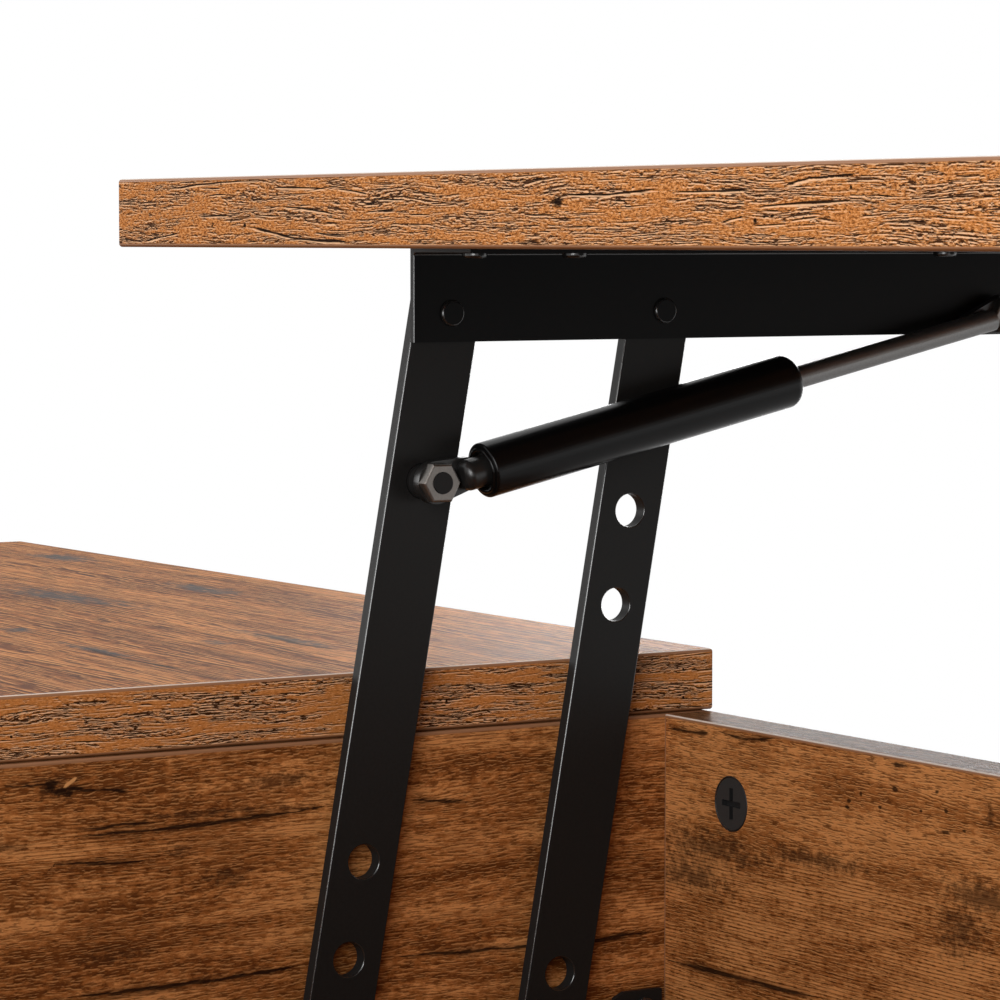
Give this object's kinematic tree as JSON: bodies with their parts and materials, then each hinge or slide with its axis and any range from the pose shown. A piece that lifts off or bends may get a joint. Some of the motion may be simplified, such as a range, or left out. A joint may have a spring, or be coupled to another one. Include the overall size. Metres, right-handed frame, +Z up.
{
  "type": "lift-top coffee table",
  "caption": "Brown board coffee table, half of whose top swings forward and up to dining height on parallel steel arms with gas springs, over a storage compartment and open cubbies.",
  "frame": {"origin": "on the floor, under the centre of the box of the table with its top raised", "axes": "+Z up, -Y towards the user that the top swings to, -X the lifting half, +X the fixed half"},
  "size_m": [1, 0.7162, 0.5865],
  "materials": {
    "rustic_board": "satin rustic brown laminate with dark cracks",
    "black_steel": "satin black powder coat",
    "tube_black": "glossy black paint",
    "rod_steel": "dark ground steel",
    "nut_steel": "bare zinc plated steel",
    "bolt_steel": "zinc plated",
    "cam_zinc": "dark die-cast zinc",
    "dowel_wood": "plain beech",
    "washer_plastic": "plain",
    "seal_plastic": "plain",
    "glide_plastic": "plain"
  },
  "bodies": {
    "case": {"fixed_top": "rustic_board", "partition": "rustic_board", "left_end_panel": "rustic_board", "right_end_panel": "rustic_board", "front_panel": "rustic_board", "back_panel": "rustic_board", "cubby_back": "rustic_board", "compartment_floor": "rustic_board", "lower_shelf": "rustic_board", "cubby_shelf": "rustic_board", "cubby_base": "rustic_board", "glides": "glide_plastic", "cam_locks": "cam_zinc", "cam_bolts": "bolt_steel", "wood_dowels": "dowel_wood", "lower_bracket_right": "black_steel", "lower_bracket_left": "black_steel", "lower_bracket_screws": "black_steel", "lower_rivets": "black_steel", "lower_washers": "washer_plastic"},
    "lift_top": {"lift_top": "rustic_board", "upper_bracket_right": "black_steel", "upper_bracket_left": "black_steel", "upper_bracket_screws": "black_steel", "upper_rivets": "black_steel", "upper_washers": "washer_plastic"},
    "rear_arm_right": {"rear_arm_right": "black_steel", "arm_stud_right": "black_steel", "arm_stud_nut_right": "nut_steel"},
    "front_arm_right": {"front_arm_right": "black_steel"},
    "gas_cylinder_right": {"gas_cylinder_right": "tube_black", "cylinder_end_right": "black_steel", "rod_gland_right": "seal_plastic"},
    "gas_rod_right": {"gas_rod_right": "rod_steel", "piston_right": "seal_plastic", "rod_end_right": "black_steel", "rod_stud_right": "black_steel", "rod_stud_nut_right": "nut_steel"},
    "rear_arm_left": {"rear_arm_left": "black_steel", "arm_stud_left": "black_steel", "arm_stud_nut_left": "nut_steel"},
    "front_arm_left": {"front_arm_left": "black_steel"},
    "gas_cylinder_left": {"gas_cylinder_left": "tube_black", "cylinder_end_left": "black_steel", "rod_gland_left": "seal_plastic"},
    "gas_rod_left": {"gas_rod_left": "rod_steel", "piston_left": "seal_plastic", "rod_end_left": "black_steel", "rod_stud_left": "black_steel", "rod_stud_nut_left": "nut_steel"}
  },
  "joints": [
    {"name": "lift", "type": "hinge", "parent": "case", "child": "rear_arm_right", "pos_m": [0.0119, 0.04164, 0.31379], "axis": [-1, 0, 0], "range_deg": [0, 75.5]},
    {"name": "top_level", "type": "hinge", "parent": "rear_arm_right", "child": "lift_top", "pos_m": [0.0085, -0.00086, 0.55], "axis": [-1, 0, 0], "range_deg": [-75.5, 0]},
    {"name": "front_arm_right_turn", "type": "hinge", "parent": "case", "child": "front_arm_right", "pos_m": [0.0119, -0.02986, 0.31379], "axis": [-1, 0, 0], "range_deg": [0, 75.5]},
    {"name": "rear_arm_left_turn", "type": "hinge", "parent": "case", "child": "rear_arm_left", "pos_m": [-0.4766, 0.04164, 0.31379], "axis": [-1, 0, 0], "range_deg": [0, 75.5]},
    {"name": "front_arm_left_turn", "type": "hinge", "parent": "case", "child": "front_arm_left", "pos_m": [-0.4766, -0.02986, 0.31379], "axis": [-1, 0, 0], "range_deg": [0, 75.5]},
    {"name": "gas_cylinder_right_tilt", "type": "hinge", "parent": "rear_arm_right", "child": "gas_cylinder_right", "pos_m": [-0.0005, 0.00752, 0.5034], "axis": [-1, 0, 0], "range_deg": [-81.3, 0]},
    {"name": "gas_rod_right_slide", "type": "slide", "parent": "gas_cylinder_right", "child": "gas_rod_right", "axis": [0, -0.9764, 0.2159], "range_m": [-0.0553, 0]},
    {"name": "gas_cylinder_left_tilt", "type": "hinge", "parent": "rear_arm_left", "child": "gas_cylinder_left", "pos_m": [-0.4642, 0.00752, 0.5034], "axis": [-1, 0, 0], "range_deg": [-81.3, 0]},
    {"name": "gas_rod_left_slide", "type": "slide", "parent": "gas_cylinder_left", "child": "gas_rod_left", "axis": [0, -0.9764, 0.2159], "range_m": [-0.0553, 0]}
  ],
  "couplings": [
    {"joint": "top_level", "follows": "lift", "ratio": -1},
    {"joint": "front_arm_right_turn", "follows": "lift", "ratio": 1},
    {"joint": "rear_arm_left_turn", "follows": "lift", "ratio": 1},
    {"joint": "front_arm_left_turn", "follows": "lift", "ratio": 1},
    {"joint": "gas_cylinder_right_tilt", "follows": "lift", "ratio": -1.0765},
    {"joint": "gas_rod_right_slide", "follows": "lift", "m_per_rad": -0.041905},
    {"joint": "gas_cylinder_left_tilt", "follows": "lift", "ratio": -1.0765},
    {"joint": "gas_rod_left_slide", "follows": "lift", "m_per_rad": -0.041905}
  ]
}
